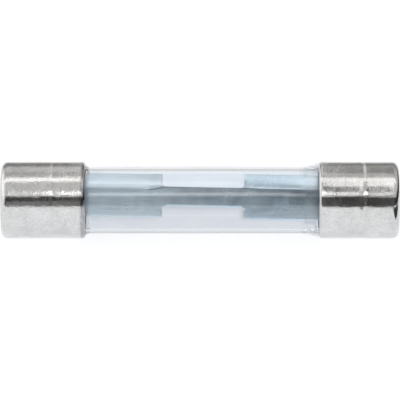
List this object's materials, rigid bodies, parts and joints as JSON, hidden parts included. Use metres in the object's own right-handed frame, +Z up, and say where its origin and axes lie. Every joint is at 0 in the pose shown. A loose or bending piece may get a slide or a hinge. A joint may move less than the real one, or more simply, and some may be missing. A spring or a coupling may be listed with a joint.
{
  "type": "cartridge fuse",
  "caption": "Glass cartridge fuse: a clear tube with plated metal end caps and a flat strip element with a narrow neck, for fuse clips or a fuse holder.",
  "frame": {"origin": "middle of the fuse, on the axis of its tube", "axes": "+X along the fuse towards the cap with the larger cement fillet, +Z up, the strip's flat side faces -Y"},
  "size_m": [0.0322, 0.0062, 0.0062],
  "materials": {
    "glass": "clear, faintly blue, glossy",
    "nickel_plate": "polished nickel plate with fine handling marks",
    "strip_metal": "dull grey zinc strip",
    "solder": "satin tin solder",
    "cement": "clear resin cement, faintly hazy"
  },
  "bodies": {
    "root": {"glass_tube": "glass", "left_end_cap": "nickel_plate", "right_end_cap": "nickel_plate", "fuse_element": "strip_metal", "left_solder": "solder", "right_solder": "solder", "left_cement_ring": "cement", "right_cement_ring": "cement"}
  },
  "joints": []
}
